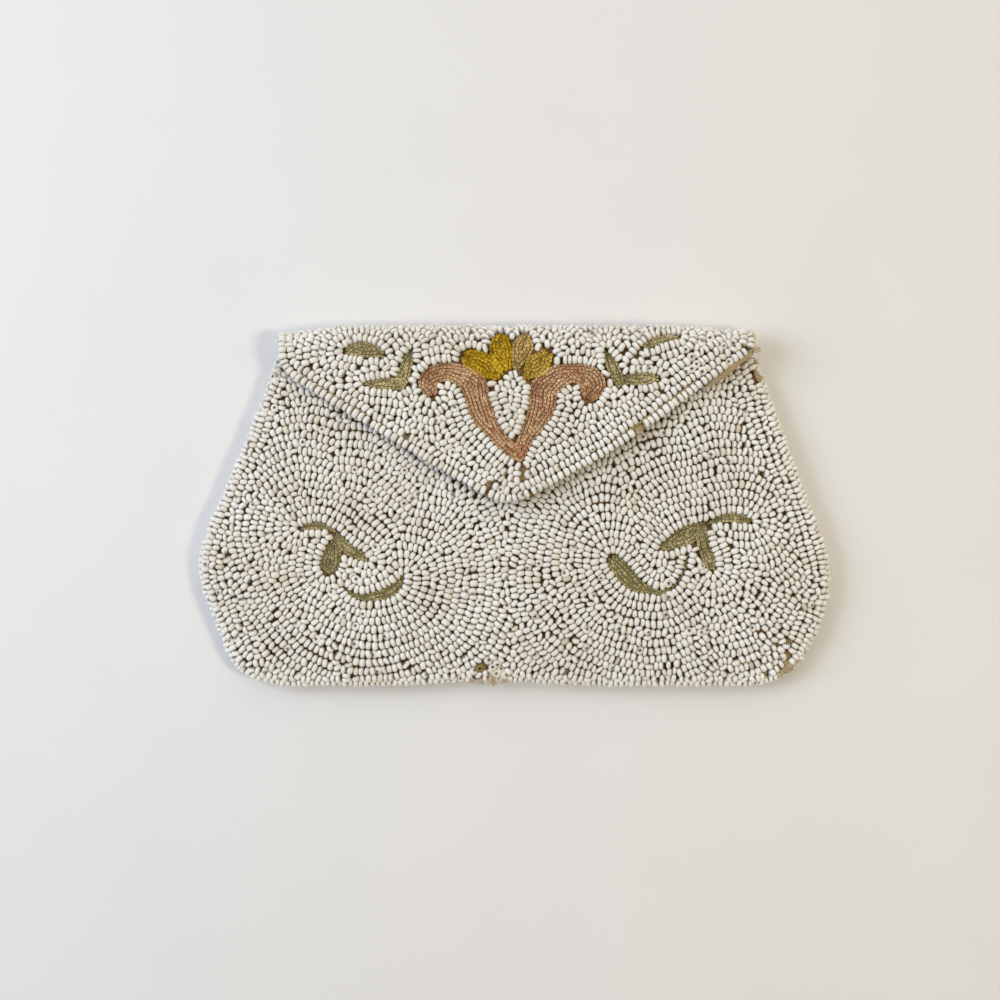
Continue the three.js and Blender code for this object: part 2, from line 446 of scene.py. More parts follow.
def ground_cloth_material():
    """Tan cotton in a fine plain weave, browned with age, darker between the beads and lighter where it
    puckers up: grime, wear and painted shade and light.
    """
    material, tree, shader = new_material("ground_cloth")
    bare_and_lit = add_node(tree, "Attribute", attribute_name="bare_and_lit")
    # Darker brown down between the beads, lighter tan where the cloth puckers up and on the hem: partly
    # grime and rubbed-bare cloth, partly painted shade and light.
    base = mix_colours(tree, bare_and_lit.outputs["Fac"], (0.61, 0.375, 0.15, 1), (0.80, 0.63, 0.36, 1))
    aged = place_group(tree, AGEING, Grime=(0.33, 0.17, 0.045, 1), Patch_size=140.0, Amount=0.5)
    tree.links.new(base, aged.inputs["Colour"])
    weave = place_group(tree, WEAVE, Threads_per_metre=2000.0)
    # The weave's painted shade darkens the cloth's colour where its threads dip.
    colour = mix_colours(tree, 1.0, aged.outputs["Colour"], weave.outputs["Shade"], "MULTIPLY")
    bump = add_node(tree, "Bump", {"Height": weave.outputs["Height"], "Strength": 0.8,
                                   "Distance": 0.0002})
    tree.links.new(colour, shader.inputs["Base Color"])
    tree.links.new(bump.outputs["Normal"], shader.inputs["Normal"])
    shader.inputs["Roughness"].default_value = 0.9
    shader.inputs["Sheen Weight"].default_value = 0.15
    return material


GROUND_CLOTH = ground_cloth_material()
front_cloth = cloth_wall("front_cloth", "front", FRONT_GRID, front_place, front_surface)


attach(front_cloth, "root")
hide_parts("front_panel")


# Ground cloth of the back and the flap: one long piece of the same cotton, which makes the back, folds
# over the top edge and comes down the front to a point. It is cut, beaded and stitched flat, then folded
# and sewn up.
WRAP_GRID = (140, 150)
_, flap_high = (np.array(corner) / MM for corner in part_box("back_flap"))
FLAP_ABOVE = 5.2  # the flap lies higher than this everywhere, and the back lower
FLAP_LEVELS = (0.85, 36.9)  # from just above the flap's tip to just below the fold
BY_THE_FOLD = 35.5
FOLD_INSET = 1.5  # heights aren't read nearer to the fold than this

flap_levels = np.linspace(*FLAP_LEVELS, 130)
flap_left, flap_right = section_limits("back_flap", 1, flap_levels, FLAP_ABOVE)
flap_sides = [np.stack([side, flap_levels], 1) for side in (flap_left, flap_right)]
flap_edge_line = np.concatenate([flap_sides[0][::-1], flap_sides[1]])
flap_outline = np.concatenate([flap_edge_line, flap_edge_line[:1]])
flap_top = top_reader("back_flap", flap_outline, FLAP_ABOVE + 1)
FOLD_RADIUS = float(flap_top(0.0, BY_THE_FOLD)) / 2
FOLD_Y = flap_high[1] - FOLD_RADIUS
FOLD_LENGTH = math.pi * (FOLD_RADIUS - BEAD_LAYER / 2)
FOLD_END = FOLD_Y + FOLD_LENGTH
FOLD_CREST = FOLD_Y + FOLD_LENGTH / 2
WRAP_END = FOLD_END + FOLD_Y - front_low[1]
TIP_Y = flap_levels[0] - 0.05


def past_fold(s):
    """How far round the fold a place is, from 0 on the flap to 1 on the back."""
    return np.clip((s - FOLD_Y) / FOLD_LENGTH, 0, 1)


def wrap_surface(x, s, depth):
    """Points of the back and flap cloth: s runs up the flap from its tip, over the fold, down the back."""
    x, s, depth = roll_over(wrap_edge, x, s, depth, past_fold(s))
    radius = flap_top(x, np.minimum(s, FOLD_Y - FOLD_INSET)) / 2
    crest = flap_top(x, np.full(np.shape(x), FOLD_Y - FOLD_INSET)) / 2
    angle = math.pi / 2 - math.pi * past_fold(s)
    flap = np.stack([x, s, 2 * radius - depth], -1)
    reach = crest - depth
    fold = np.stack([x, FOLD_Y + reach * np.cos(angle), crest + reach * np.sin(angle)], -1)
    back = np.stack([x, FOLD_Y - (s - FOLD_END), depth + 0 * x], -1)
    s = np.asarray(s)[..., None]
    return np.where(s < FOLD_Y, flap, np.where(s < FOLD_END, fold, back))


def wrap_sides(s):
    """The left and right edges of the back and flap cloth at s, before it is let out."""
    on_back = FOLD_Y - (s - FOLD_END)
    back = (np.interp(on_back, side_levels, limit) for limit in (body_left, body_right))
    flap = (np.interp(s, flap_levels, limit) for limit in (flap_left, flap_right))
    return [f + (b - f) * past_fold(s) for f, b in zip(flap, back)]


def wrap_place(u, t):
    """Flat place on the back and flap cloth: u runs across, t from the flap's tip to the back's bottom."""
    s = TIP_Y + (WRAP_END - TIP_Y) * t
    left, right = wrap_sides(s)
    x = left + (right - left) * u
    lobes = np.interp(x, cross_levels, body_bottom - front_low[1], left=0, right=0)
    s = s - lobes * np.clip((s - FOLD_END) / (WRAP_END - FOLD_END), 0, 1) ** 4
    over, up = let_out(x, np.minimum(FOLD_Y - (s - FOLD_END), front_high[1] - 3))
    past = past_fold(s)
    return x + over * past, s - up * (past == 1)


wrap_outline = rim_of(wrap_place)
wrap_left, wrap_bottom, wrap_right, _ = np.split(wrap_outline, 4)
sewn_left, sewn_right = (side[side[:, 1] > FOLD_Y] for side in (wrap_left, wrap_right))
wrap_edge = edge_reader(np.concatenate([sewn_left, wrap_bottom, sewn_right]))
wrap_cloth = cloth_wall("back_and_flap_cloth", "flap", WRAP_GRID, wrap_place, wrap_surface)
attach(wrap_cloth, "root")
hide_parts("back_flap")


# Press stud under the flap's point: a small plated stud and socket, each sewn to its cloth through holes
# in its rim. The flap hides it, so the frame's plain solid stays, with a dull metal finish.
def stud_material():
    """Dull plated metal with faint cloudy tarnish."""
    material, tree, shader = new_material("stud_metal")
    aged = place_group(tree, AGEING, Colour=(0.42, 0.41, 0.38, 1), Grime=(0.16, 0.13, 0.09, 1),
                       Patch_size=420.0, Amount=0.6)
    rough = add_node(tree, "MapRange", {"Value": aged.outputs["Mask"], "To Min": 0.3, "To Max": 0.6})
    tree.links.new(aged.outputs["Colour"], shader.inputs["Base Color"])
    tree.links.new(rough.outputs["Result"], shader.inputs["Roughness"])
    shader.inputs["Metallic"].default_value = 1.0
    return material


press_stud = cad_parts["press_stud"]
press_stud.data.materials.clear()
press_stud.data.materials.append(stud_material())


# Flowers and leaves: faded silk worked in chain stitch, in rows that follow the outline of each shape
# inwards, over a low pad of the same thread. Each shape is a stroke with its middle line and half width,
# in millimetres.
STITCH_ROW = 0.82
STITCH_STEP = 0.9
STITCH_LENGTH = 1.6
STITCH_WIDTH = 0.96
STITCH_SPREAD = 0.1  # how much stitches differ in length and width
STITCH_TURN = 0.22  # and in their heading, in radians
SHORTEST_ROW = 0.7
SILK_RADIUS = 0.17
PAD_HEIGHT = 0.85
PAD_FACES = 6  # across a stroke
PAD_THICKNESS = 0.05
PAD_INSET = 0.1  # the pad lies this far below its face, the stitches this far above it
PATH_STEP = 0.25
# The laid threads have a dark tone, and the second value is painted shade on them, as they lie under the
# stitches.
UNDERLAY_TONE = 0.1
UNDERLAY_SHADE = 0.6
TONE_SPREAD = 0.26
FLAP_FADING = 0.13
FRONT_FADING = -0.2

STROKES = {
    ("flap", "rose"): [
        [(-20.2, 27.6, 2.0), (-20.8, 28.9, 2.1), (-19.7, 30.6, 2.4), (-16.3, 31.7, 2.4),
         (-12.6, 30.7, 2.7), (-9.8, 28.6, 3.3), (-8.8, 25.3, 3.0), (-7.6, 21.7, 2.9),
         (-5.4, 18.2, 2.2), (-2.8, 15.0, 1.9), (-0.6, 12.9, 1.8), (0.5, 11.9, 1.4)],
        [(18.2, 27.6, 2.8), (18.6, 28.8, 3.0), (17.2, 30.5, 2.9), (13.6, 31.4, 2.4), (10.2, 30.4, 3.0),
         (7.0, 27.5, 3.4), (6.4, 23.6, 3.3), (4.9, 20.0, 2.7), (3.0, 16.6, 2.1), (1.7, 13.6, 1.8),
         (1.2, 12.0, 1.5)],
    ],
    ("flap", "gold"): [
        [(-10.2, 34.6, 2.4), (-9.2, 34.2, 2.8), (-7.9, 33.5, 3.0), (-6.4, 32.6, 2.8),
         (-4.9, 31.7, 2.0)],
        [(-3.4, 39.3, 2.1), (-3.5, 38.2, 2.6), (-3.3, 36.7, 2.7), (-2.7, 35.0, 2.2),
         (-2.2, 33.4, 1.5)],
    ],
    ("flap", "sand"): [
        [(2.4, 40.2, 1.4), (2.1, 38.6, 2.4), (1.7, 36.8, 2.5), (1.0, 34.9, 1.9), (0.5, 33.3, 1.2)],
    ],
    ("flap", "ochre"): [
        [(6.9, 35.0, 2.0), (6.2, 34.2, 2.6), (5.2, 33.1, 2.9), (4.0, 32.0, 2.3), (3.1, 31.0, 1.2)],
    ],
    ("flap", "sage"): [
        [(-39.5, 36.6, 1.0), (-37.5, 37.0, 1.8), (-35.1, 36.9, 2.0), (-32.7, 36.3, 1.5),
         (-31.1, 35.4, 0.6)],
        [(-24.4, 36.5, 0.7), (-25.2, 34.5, 1.35), (-25.9, 32.1, 1.55), (-26.6, 29.7, 1.6),
         (-27.1, 27.7, 0.8)],
        [(-35.4, 28.9, 0.6), (-32.8, 28.8, 1.25), (-30.0, 28.8, 1.5), (-27.1, 28.8, 1.6)],
        [(38.4, 40.2, 0.8), (36.6, 39.9, 1.2), (34.2, 39.2, 1.3), (31.8, 38.2, 1.0), (29.2, 36.5, 0.4),
         (26.8, 33.6, 0.3)],
        [(21.2, 36.5, 0.5), (22.4, 34.3, 1.35), (23.4, 32.2, 1.55), (24.4, 30.0, 1.45),
         (24.8, 28.1, 0.6)],
        [(25.1, 29.3, 0.8), (27.2, 29.8, 1.45), (29.6, 30.0, 1.65), (32.0, 30.1, 1.35),
         (33.4, 30.1, 0.8)],
    ],
    ("front", "sage"): [
        [(-50.6, -5.3, 0.7), (-48.6, -4.8, 1.0), (-46.2, -4.7, 1.0), (-44.4, -5.1, 0.7),
         (-43.0, -6.0, 0.5)],
        [(-42.0, -6.4, 0.4), (-42.5, -8.6, 1.3), (-43.2, -10.9, 2.1), (-43.8, -13.2, 2.6)],
        [(-42.1, -6.7, 0.5), (-41.0, -8.8, 1.3), (-38.9, -10.6, 1.5), (-36.8, -11.8, 1.2),
         (-35.1, -12.9, 0.6)],
        [(-40.4, -19.4, 0.5), (-38.6, -21.0, 0.7), (-35.8, -21.7, 1.0), (-32.8, -21.4, 1.3),
         (-29.4, -20.2, 1.5), (-27.4, -18.4, 1.1), (-26.6, -17.0, 0.6)],
        [(55.8, -3.6, 0.8), (53.6, -3.0, 1.15), (50.8, -2.8, 1.15), (48.4, -3.2, 0.9),
         (46.2, -4.2, 0.6)],
        [(44.7, -4.6, 1.0), (41.7, -6.6, 2.3), (38.5, -8.1, 2.1), (35.6, -9.7, 1.2),
         (34.2, -10.4, 0.5)],
        [(44.4, -5.6, 1.3), (44.6, -7.6, 1.5), (45.1, -10.0, 1.55), (45.9, -12.2, 1.65),
         (46.5, -14.0, 1.35)],
        [(41.2, -11.6, 0.4), (40.7, -13.6, 0.5), (39.7, -16.6, 0.55), (38.0, -18.8, 0.6),
         (34.9, -20.5, 0.7), (31.7, -19.9, 1.1), (28.9, -18.7, 1.85), (26.9, -16.9, 2.25),
         (25.2, -14.9, 2.1), (24.0, -13.6, 1.95)],
    ],
}
SURFACES = {"front": front_surface, "flap": wrap_surface}
MAP_MARGIN = 0.06  # each copy's share of the bake map stays this far inside its cell


def run_along(line):
    """How far along a line each of its points lies."""
    return np.concatenate([[0], np.cumsum(np.hypot(*np.diff(line, axis=0).T))])


def unit(vectors):
    """The same directions at unit length."""
    return vectors / np.linalg.norm(vectors, axis=1, keepdims=True)


def stroke_path(points):
    """A smooth middle line through a stroke's points, in even steps: x, y, half width."""
    p = np.array(points, float)
    p = np.concatenate([[2 * p[0] - p[1]], p, [2 * p[-1] - p[-2]]])
    t = np.linspace(0, 1, 16, endpoint=False)[:, None]
    spans = []
    for a, b, c, d in zip(p[:-3], p[1:-2], p[2:-1], p[3:]):
        spans.append(b + t / 2 * (c - a + t * (2 * a - 5 * b + 4 * c - d + t * (3 * (b - c) + d - a))))
    line = np.concatenate(spans + [p[-2:-1]])
    run = run_along(line[:, :2])
    even = np.linspace(0, run[-1], max(int(run[-1] / PATH_STEP), 8))
    line = np.stack([np.interp(even, run, column) for column in line.T], 1)
    ends = []
    for tip, inner in ((line[0], line[1]), (line[-1], line[-2])):
        reach = np.arange(PATH_STEP, tip[2], PATH_STEP)[:, None]
        away = (tip - inner)[:2] / np.hypot(*(tip - inner)[:2])
        ends.append(np.hstack([tip[:2] + reach * away, np.sqrt(tip[2] ** 2 - reach ** 2)]))
    return np.concatenate([ends[0][::-1], line, ends[1]])


def sideways(path):
    """Unit vectors to the left of a line."""
    along = unit(np.gradient(path[:, :2], axis=0))
    return np.stack([-along[:, 1], along[:, 0]], 1)


def pad_depth(half, offset):
    """Depth of the padded shape's face below the bead tops, at an offset from its middle line."""
    share = np.clip(1 - (offset / np.maximum(half, 0.05)) ** 2, 0, 1)
    return BEAD_LAYER - PAD_HEIGHT * (0.45 + 0.55 * np.sqrt(share)) * np.clip(half / 1.2, 0.5, 1)


def stitch_rows(path):
    """The rows of stitches in a stroke: lines of places with their headings."""
    half, left = path[:, 2], sideways(path)
    count = half / STITCH_ROW
    rings = np.ceil(count - 0.75)
    rows = []
    for ring in range(int(max(rings.max(), 0))):
        for side in (1, -1):
            rows.append((side * (half - (ring + 0.5) * STITCH_ROW), rings > ring))
    inner = half - (rings - 0.5) * STITCH_ROW
    rows.append((0 * half, (rings < 1) | (inner > 0.8 * STITCH_ROW)))
    for offset, there in rows:
        breaks = np.flatnonzero(np.diff(np.concatenate([[0], there.astype(int), [0]])))
        for start, end in zip(breaks[::2], breaks[1::2]):
            if (end - start) * PATH_STEP > SHORTEST_ROW:
                line = path[start:end, :2] + left[start:end] * offset[start:end, None]
                yield line, half[start:end], offset[start:end]


def shade_points(mesh, **shades):
    """Gives a mesh its named shades, point by point."""
    for label, values in shades.items():
        layer = mesh.attributes.new(label, "FLOAT", "POINT")
        layer.data.foreach_set("value", values.astype(np.float32))


def copies(name, shape, centres, along, across, out, sizes, tone, material):
    """One mesh of many turned and sized copies of a small shape, each with a tone of its own."""
    points, faces, uv, shade = shape
    n, v, f = len(centres), len(points), len(faces)
    scaled = points[None] * sizes[:, None, :]
    axes = np.stack([along, across, out], 1)
    placed = (centres[:, None] + np.einsum("nvi,nij->nvj", scaled, axes)) * MM
    corners = (faces[None] + (np.arange(n) * v)[:, None, None]).reshape(-1, faces.shape[1])
    mesh = bpy.data.meshes.new(name)
    mesh.from_pydata(placed.reshape(-1, 3), [], corners)
    shade_points(mesh, tone=np.repeat(tone, v), recess=np.broadcast_to(shade, (n, v)).ravel())
    side = math.ceil(math.sqrt(n))
    cell = np.stack([np.arange(n) % side, np.arange(n) // side], 1)
    laid = (cell[:, None, None] + MAP_MARGIN + (1 - 2 * MAP_MARGIN) * uv[None]) / side
    mesh.uv_layers.new(name="OFBake").uv.foreach_set("vector", laid.astype(np.float32).ravel())
    mesh.shade_smooth()
    piece = add_object(name, mesh, material)
    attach(piece, "root")


def shape_arrays(shape, shade, wrap_u, wrap_v):
    """Points, faces, map and shade of a small bmesh shape whose map wraps round two ways."""
    bmesh.ops.recalc_face_normals(shape, faces=shape.faces)
    points = np.array([v.co for v in shape.verts])
    faces = np.array([[v.index for v in face.verts] for face in shape.faces])
    uv = np.stack([wrap_u(points), wrap_v(points)], 1)[faces]
    uv = np.where(uv.max(1, keepdims=True) - uv > 0.5, uv + 1, uv)
    uv -= uv.min((0, 1))
    uv /= uv.max((0, 1))
    shape.free()
    return points, faces, uv, shade(points)


def chain_link():
    """One stitch of the chain: a loop of silk, narrow where it comes up, wide where the next holds it."""
    shape = bmesh.new()
    radius = SILK_RADIUS / STITCH_WIDTH
    ring = bmesh.ops.create_circle(shape, segments=5, radius=radius)["verts"]
    bmesh.ops.rotate(shape, verts=ring, cent=(0, 0, 0), matrix=Matrix.Rotation(math.pi / 2, 3, "X"))
    bmesh.ops.translate(shape, verts=ring, vec=(0.5 - radius, 0, 0))
    bmesh.ops.spin(shape, geom=shape.verts[:] + shape.edges[:], cent=(0, 0, 0), axis=(0, 0, 1),
                   angle=math.tau, steps=10, use_merge=True)
    for vertex in shape.verts:
        vertex.co.y *= 0.62 + 0.6 * vertex.co.x
        vertex.co.z -= 0.2 * max(0, -vertex.co.x)
    shape.verts.index_update()
    turn = lambda p: np.arctan2(p[:, 1], p[:, 0]) / math.tau + 0.5
    tube = lambda p: np.arctan2(p[:, 2], np.hypot(p[:, 0], p[:, 1]) - 0.35) / math.tau + 0.5
    # The loop's recess value is painted shade: darkest on its underside and at its narrow end, where it
    # dips into the cloth.
    return shape_arrays(shape, lambda p: np.clip(0.33 - 3 * p[:, 2] - 1.1 * p[:, 0], 0, 1), turn, tube)


def silk_material(name, light, dark):
    """Faded silk: each stitch has its own tone, with fine strands, and painted shade in its low parts."""
    material, tree, shader = new_material(name + "_silk")
    tone = add_node(tree, "Attribute", attribute_name="tone")
    recess = add_node(tree, "Attribute", attribute_name="recess")
    shade = mix_colours(tree, tone.outputs["Fac"], dark, light)
    # The ageing patches darken towards a grime colour. The second, darker colour is painted shade for the
    # low parts of each stitch and for the underlay.
    darkening, recess_darkening = (tuple(share * c for c in dark[:3]) + (1,) for share in (0.45, 0.27))
    aged = place_group(tree, AGEING, Grime=darkening, Patch_size=260.0, Amount=0.4)
    tree.links.new(shade, aged.inputs["Colour"])
    low = mix_colours(tree, recess.outputs["Fac"], aged.outputs["Colour"], recess_darkening)
    place = add_node(tree, "TexCoord")
    strands = add_node(tree, "TexNoise", {"Vector": place.outputs["Object"], "Scale": 5200.0,
                                          "Detail": 2.0})
    bump = add_node(tree, "Bump", {"Height": strands.outputs["Fac"], "Strength": 0.5,
                                   "Distance": 0.0001})
    tree.links.new(low, shader.inputs["Base Color"])
    tree.links.new(bump.outputs["Normal"], shader.inputs["Normal"])
    shader.inputs["Roughness"].default_value = 0.55
    shader.inputs["Specular IOR Level"].default_value = 0.15
    shader.inputs["Sheen Weight"].default_value = 0.03
    return material


SILKS = {
    "rose": silk_material("rose", (0.86, 0.615, 0.355, 1), (0.51, 0.23, 0.112, 1)),
    "gold": silk_material("gold", (0.84, 0.57, 0.035, 1), (0.46, 0.26, 0.004, 1)),
    "sand": silk_material("sand", (0.83, 0.60, 0.235, 1), (0.45, 0.305, 0.08, 1)),
    "ochre": silk_material("ochre", (0.83, 0.57, 0.10, 1), (0.48, 0.295, 0.035, 1)),
    "sage": silk_material("sage", (0.74, 0.62, 0.33, 1), (0.35, 0.305, 0.137, 1)),
}


def axes_on(surface, x, s, depth, heading):
    """Places on a cloth with their directions along a heading, across it and out of the cloth."""
    step = 0.3
    over_x = surface(x + step, s, depth) - surface(x - step, s, depth)
    over_s = surface(x, s + step, depth) - surface(x, s - step, depth)
    out = unit(np.cross(over_x, over_s))
    along = over_x * np.cos(heading)[:, None] + over_s * np.sin(heading)[:, None]
    along = unit(along - out * (along * out).sum(1, keepdims=True))
    return surface(x, s, depth), along, np.cross(out, along), out


def lay_underlay(silk, strokes):
    """The laid threads under all the stitches of one silk, as one piece."""
    pads = bmesh.new()
    for cloth, path in strokes:
        surface, left = SURFACES[cloth], sideways(path)
        before = len(pads.verts)
        bmesh.ops.create_grid(pads, x_segments=len(path) - 1, y_segments=PAD_FACES, size=0.5)
        pads.verts.ensure_lookup_table()
        for vertex in pads.verts[before:]:
            k = round((vertex.co.x + 0.5) * (len(path) - 1))
            offset = 2 * vertex.co.y * (path[k, 2] + PAD_INSET)
            x, s = path[k, :2] + left[k] * offset
            depth = pad_depth(path[k, 2], offset) + PAD_INSET
            vertex.co = surface(np.array([x]), np.array([s]), np.array([depth]))[0] * MM
    bmesh.ops.recalc_face_normals(pads, faces=pads.faces)
    bmesh.ops.solidify(pads, geom=pads.faces, thickness=PAD_THICKNESS * MM)
    mesh = mesh_of(silk + "_underlay", pads)
    n = len(mesh.vertices)
    # The underlay's recess value is painted shade, as it lies under the stitches.
    shade_points(mesh, tone=np.full(n, UNDERLAY_TONE), recess=np.full(n, UNDERLAY_SHADE))
    pad = add_object(silk + "_underlay", mesh, SILKS[silk])
    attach(pad, "root")


def lay_stitches(silk, strokes, chance):
    """All the chain stitches of one silk, as one piece."""
    links = []
    for cloth, path in strokes:
        for line, half, offset in stitch_rows(path):
            run = run_along(line)
            places = np.arange(chance.uniform(0.2, 0.9), run[-1], STITCH_STEP)
            heading = np.unwrap(np.arctan2(*np.gradient(line, axis=0).T[::-1]))
            along_row = *line.T, heading, pad_depth(half, offset)
            for place in places:
                x, s, turn, depth = (np.interp(place, run, values) for values in along_row)
                turn += chance.normal(0, STITCH_TURN)
                links.append((cloth == "front", x, s, turn, depth))
    links = np.array(links)
    places = []
    for on_front, surface in ((1, front_surface), (0, wrap_surface)):
        here = links[links[:, 0] == on_front]
        if len(here):
            _, x, s, turn, depth = here.T
            places.append(axes_on(surface, x, s, depth - PAD_INSET, turn))
    centres, along, across, out = (np.concatenate(parts) for parts in zip(*places))
    n = len(centres)
    lengths = STITCH_LENGTH * chance.normal(1, STITCH_SPREAD, n)
    widths = STITCH_WIDTH * chance.normal(1, STITCH_SPREAD, n)
    sizes = np.stack([lengths, widths, np.full(n, STITCH_WIDTH)], 1)
    x, y = centres[:, 0], centres[:, 1]
    streaks = 0.2 * np.sin(0.55 * x + 0.3 * y) + 0.16 * np.sin(0.9 * y - 0.4 * x)
    fading = np.where(y > 0, FLAP_FADING, FRONT_FADING)
    tone = np.clip(0.5 + streaks + fading + chance.normal(0, TONE_SPREAD, n), 0, 1)
    copies(silk + "_stitches", chain_link(), centres, along, across, out, sizes, tone, SILKS[silk])


paths = []
for (cloth, silk), group in STROKES.items():
    paths += [(cloth, silk, stroke_path(stroke)) for stroke in group]
stitch_chance = np.random.default_rng(5)
for silk in SILKS:
    strokes = [(cloth, path) for cloth, used, path in paths if used == silk]
    lay_underlay(silk, strokes)
    lay_stitches(silk, strokes, stitch_chance)


# Seed beads: small drilled beads of opaque off-white glass, threaded and sewn down in rows that echo the
# stitched shapes outwards, with border rows along the cut edges. They differ a little in size and tint,
# some stand on end, and some are lost. Their tops make the outer face of the purse.
BEAD_WIDTH = 2.13
WIDTH_SPREAD = 0.12
NARROWEST, WIDEST = 1.75, 2.35
BEAD_LENGTH = 1.37
LENGTH_SPREAD = 0.16
SHORTEST, LONGEST = 1.0, 1.8
ROW_PITCH = 1.97
THREAD_GAP = 0.04  # between neighbours on a thread
ROW_SLACK = 0.82  # share of two beads' sizes by which they keep apart, in rows and when gaps are filled
FILL_SLACK = (0.76, 0.74)
SETTLE_ROUNDS = (35, 25)
TOUCHING = 0.95  # settling beads push until they are this share of their sizes apart
PUSH = 0.3
LONGEST_PUSH = 0.2
LONGEST_RETURN = 0.3
HIDDEN_UNDER_FLAP = 9.0  # beads this far inside the flap's edge aren't seen
UPRIGHT_SHARE = 0.008
LOOSE_ON_END = 0.65
LEANING_SHARE = 0.022
LOST_SHARE = 0.005
ASKEW = 0.26
NEAT_ASKEW = 0.07
TURNED_SHARE = 0.1
TURNED_ASKEW = 3 * ASKEW
TIDY_REACH = 7.0  # rows lie neater this close to the stitched shapes
TIDIEST = 0.35
PATCH_SIZE = 9.0  # hand-laid rows differ from patch to patch of this size
PATCHES = (40, 40)
# Old dust and painted shade darken the beads' holes, and their ends and sides where they meet.
HOLE_DUST_AND_SHADE = 0.5
END_DUST_AND_SHADE = 0.48  # how dark the beads' ends and sides are made where they meet: old dust and painted shade
SIDE_DUST_AND_SHADE = 0.4
UPRIGHT_END_SHARE = 0.2  # share of that darkening on the ends of beads that stand on end
SOILED_TONE = 0.1  # of the loose beads at worn spots
STAINED_BEAD = (-8.5, -38.6)
STAINED_SIZE = (0.85, 1.15)


class RowLayout:
    """Beads laid flat in rows: each has a place, a heading along its thread, a half length and width."""

    BUCKET = 2.5

    def __init__(self, outline, seed, cell=0.4):
        self.low, self.cell = outline.min(0) - 1, cell
        size = np.ceil((outline.max(0) + 1 - self.low) / cell).astype(int)
        self.x, self.y = np.meshgrid(*(l + cell * np.arange(n) for l, n in zip(self.low, size)))
        self.inside = inside_outline(outline, self.x, self.y)
        self.edge = np.where(self.inside, distance_to_line(outline, self.x, self.y), -1.0)
        self.beads = []
        self.buckets = {}
        self.chance = random.Random(seed)

    def bead_size(self):
        """Half length and half width of the next bead off the string."""
        length = min(max(self.chance.gauss(BEAD_LENGTH, LENGTH_SPREAD), SHORTEST), LONGEST)
        width = min(max(self.chance.gauss(BEAD_WIDTH, WIDTH_SPREAD), NARROWEST), WIDEST)
        return length / 2, width / 2

    def nearby(self, x, y):
        """Numbers of the beads in the buckets round a place."""
        column, row = int(x // self.BUCKET), int(y // self.BUCKET)
        for i in (column - 1, column, column + 1):
            for j in (row - 1, row, row + 1):
                yield from self.buckets.get((i, j), ())

    def fits(self, x, y, heading, size, slack, neighbour=None):
        """Whether a bead has room at a place, beside all others than its neighbour on the thread."""
        cos, sin = math.cos(heading), math.sin(heading)
        for k in self.nearby(x, y):
            if k == neighbour:
                continue
            bx, by, bead_heading, half, wide = self.beads[k]
            dx, dy = bx - x, by - y
            gap = math.hypot(dx, dy) + 1e-9
            c, s = math.cos(bead_heading), math.sin(bead_heading)
            mine = math.hypot(size[0] * (dx * cos + dy * sin), size[1] * (dx * sin - dy * cos))
            other = math.hypot(half * (dx * c + dy * s), wide * (dx * s - dy * c))
            if gap * gap < slack * (mine + other):
                return False
        return True

    def put(self, x, y, heading, size):
        """Sews a bead down and returns its number."""
        bucket = int(x // self.BUCKET), int(y // self.BUCKET)
        self.buckets.setdefault(bucket, []).append(len(self.beads))
        self.beads.append((x, y, heading, *size))
        return len(self.beads) - 1

    def lay_rows(self, field, room, first, last=1e6):
        """Beads along the level lines of a field, one row for each pitch, wherever there is room."""
        up, over = np.gradient(field, self.cell)
        steep = np.hypot(up, over) + 1e-9
        fields = [field, over / steep, up / steep, room.astype(float)]

        def read(x, y):
            across, high = (x - self.low[0]) / self.cell, (y - self.low[1]) / self.cell
            i, j = int(across), int(high)
            if not (0 <= i < field.shape[1] - 1 and 0 <= j < field.shape[0] - 1):
                return 0.0, 1.0, 0.0, 0.0
            s, t = across - i, high - j
            weights = (1 - s) * (1 - t), s * (1 - t), (1 - s) * t, s * t
            return [g[j, i] * weights[0] + g[j, i + 1] * weights[1] + g[j + 1, i] * weights[2]
                    + g[j + 1, i + 1] * weights[3] for g in fields]

        def walk(level, x, y, way, thread):
            while True:
                value, gx, gy, _ = read(x, y)
                size = self.bead_size()
                if thread is not None:
                    step = size[0] + self.beads[thread][3] + THREAD_GAP
                    x, y = x - gy * way * step, y + gx * way * step
                for _ in range(2):
                    value, gx, gy, free = read(x, y)
                    x, y = x - (value - level) * gx, y - (value - level) * gy
                heading = math.atan2(gx, -gy)
                if free < 0.5 or not self.fits(x, y, heading, size, ROW_SLACK, thread):
                    return
                thread = self.put(x, y, heading, size)

        for level in np.arange(first, min(field[room].max(), last), ROW_PITCH):
            for j, i in np.argwhere(room & (np.abs(field - level) < 0.75 * self.cell)):
                started = len(self.beads)
                walk(level, self.x[j, i], self.y[j, i], 1, None)
                if len(self.beads) > started:
                    x, y = self.beads[started][:2]
                    walk(level, x, y, -1, started)

    def fill(self, field, room, slack):
        """Single beads in the gaps that the rows left."""
        up, over = np.gradient(field, self.cell)
        spots = np.argwhere(room)
        for j, i in spots[np.random.default_rng(2).permutation(len(spots))]:
            heading = math.atan2(over[j, i], -up[j, i])
            size = self.bead_size()
            for turn in (0, math.pi / 2):
                if self.fits(self.x[j, i], self.y[j, i], heading + turn, size, slack):
                    self.put(self.x[j, i], self.y[j, i], heading + turn, size)
                    break

    def at_beads(self, field, beads):
        """Values of a field of this layout at its beads."""
        return read_grid(field, self.low, self.cell, *beads[:, :2].T)

    def replace(self, beads):
        """Starts again from these beads."""
        self.beads, self.buckets = [], {}
        for x, y, heading, *size in beads:
            self.put(x, y, heading, size)

